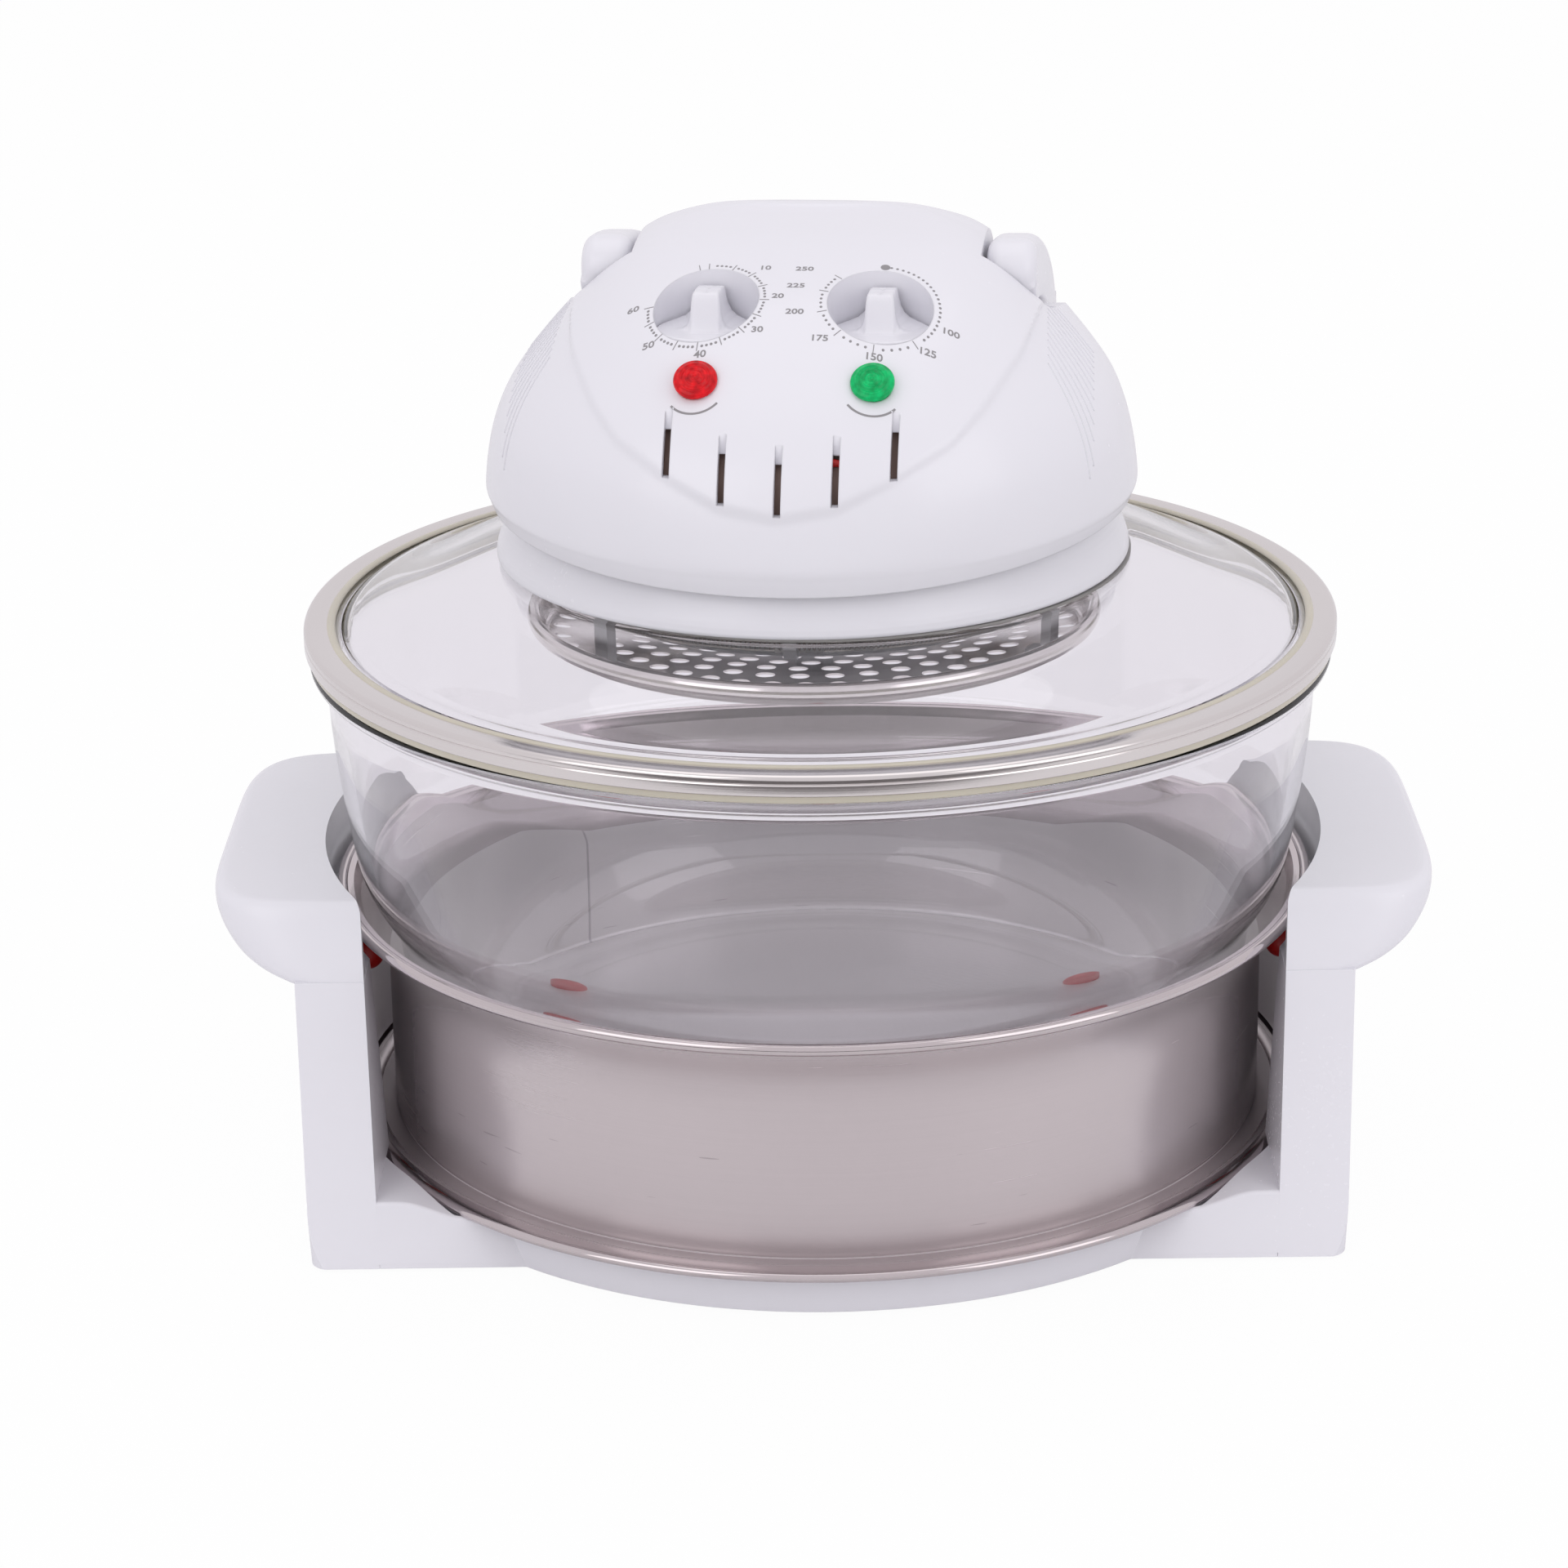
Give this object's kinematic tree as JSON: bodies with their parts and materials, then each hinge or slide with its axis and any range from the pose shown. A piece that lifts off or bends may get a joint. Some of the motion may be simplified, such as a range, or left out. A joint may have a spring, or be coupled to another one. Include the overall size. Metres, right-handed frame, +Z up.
{
  "type": "halogen oven",
  "caption": "Worktop oven: glass bowl in a steel drum on a two-handled base, under a lift-off glass lid that carries the fan, heater and controls.",
  "frame": {"origin": "on the table under the axis of the drum, at the centre of the whole part's footprint", "axes": "+Z up; +X to the right, across the two side handles; the controls face -Y"},
  "size_m": [0.395, 0.336, 0.3124],
  "materials": {
    "white_plastic": "gloss",
    "brushed_steel": "brushed",
    "polished_steel": "polished",
    "clear_glass": "clear",
    "cream_silicone": "satin",
    "red_silicone": "satin",
    "black_rubber": "matte",
    "zinc_plate": "satin",
    "ceramic": "matte",
    "quartz": "clear",
    "copper": "satin",
    "laminated_iron": "satin",
    "black_plastic": "matte",
    "cast_aluminium": "satin",
    "red_lens": "gloss",
    "green_lens": "gloss"
  },
  "bodies": {
    "base": {"base_ring": "white_plastic", "left_upright": "white_plastic", "right_upright": "white_plastic", "left_handle_cap": "white_plastic", "right_handle_cap": "white_plastic", "handle_screws": "zinc_plate", "rubber_feet": "black_rubber", "upright_screws": "zinc_plate", "side_bumpers": "red_silicone", "drum": "brushed_steel", "drum_studs": "zinc_plate", "drum_nuts": "zinc_plate", "bowl_pads": "red_silicone"},
    "bowl": {"glass_bowl": "clear_glass"},
    "lid": {"lid_gasket": "cream_silicone", "lid_glass": "clear_glass", "glazing_seal": "cream_silicone", "lid_band": "polished_steel", "collar_gasket": "cream_silicone", "lower_collar": "white_plastic", "clamp_ring": "zinc_plate", "heat_shield": "polished_steel", "halogen_tube": "quartz", "ceramic_ends": "ceramic", "tube_clips": "zinc_plate", "sensor_bulb": "copper", "guard_grille": "polished_steel", "guard_brackets": "zinc_plate", "upper_housing": "white_plastic", "housing_screws": "zinc_plate", "motor_bracket": "zinc_plate", "motor_stator": "laminated_iron", "control_bracket": "zinc_plate", "timer_body": "ceramic", "thermostat_body": "ceramic", "power_lens": "red_lens", "heat_lens": "green_lens", "lamp_holders": "ceramic", "safety_switch": "black_plastic", "terminal_block": "ceramic", "cord_gland": "white_plastic", "handle_pivots": "zinc_plate"},
    "fan": {"motor_shaft": "zinc_plate", "cooling_fan": "black_plastic", "circulation_fan": "cast_aluminium", "fan_nut": "zinc_plate"},
    "timer_dial": {"timer_shaft": "zinc_plate", "timer_knob": "white_plastic"},
    "thermostat_dial": {"thermostat_shaft": "zinc_plate", "thermostat_knob": "white_plastic"},
    "handle": {"carry_handle": "white_plastic"},
    "plunger": {"switch_plunger": "red_silicone"}
  },
  "joints": [
    {"name": "bowl_lift", "type": "slide", "parent": "base", "child": "bowl", "axis": [0, 0, 1], "range_m": [0, 0.1]},
    {"name": "lid_lift", "type": "slide", "parent": "bowl", "child": "lid", "axis": [0, 0, 1], "range_m": [0, 0.08]},
    {"name": "fan_spin", "type": "hinge", "parent": "lid", "child": "fan", "pos_m": [-0.002, 0, 0.19], "axis": [0, 0, 1], "continuous": true},
    {"name": "timer_turn", "type": "hinge", "parent": "lid", "child": "timer_dial", "pos_m": [-0.03387, -0.04491, 0.286], "axis": [0, 0, 1], "range_deg": [-280, 0]},
    {"name": "thermostat_turn", "type": "hinge", "parent": "lid", "child": "thermostat_dial", "pos_m": [0.01983, -0.05056, 0.286], "axis": [0, 0, 1], "range_deg": [-310, 0]},
    {"name": "handle_swing", "type": "hinge", "parent": "lid", "child": "handle", "pos_m": [-0.00179, 0.00199, 0.2944], "axis": [0.9945, -0.1045, 0], "range_deg": [0, 90]},
    {"name": "switch_slide", "type": "slide", "parent": "lid", "child": "plunger", "axis": [0, 0, 1], "range_m": [0, 0.0026]}
  ],
  "couplings": [
    {"joint": "switch_slide", "follows": "handle_swing", "m_per_rad": 0.0015915}
  ]
}
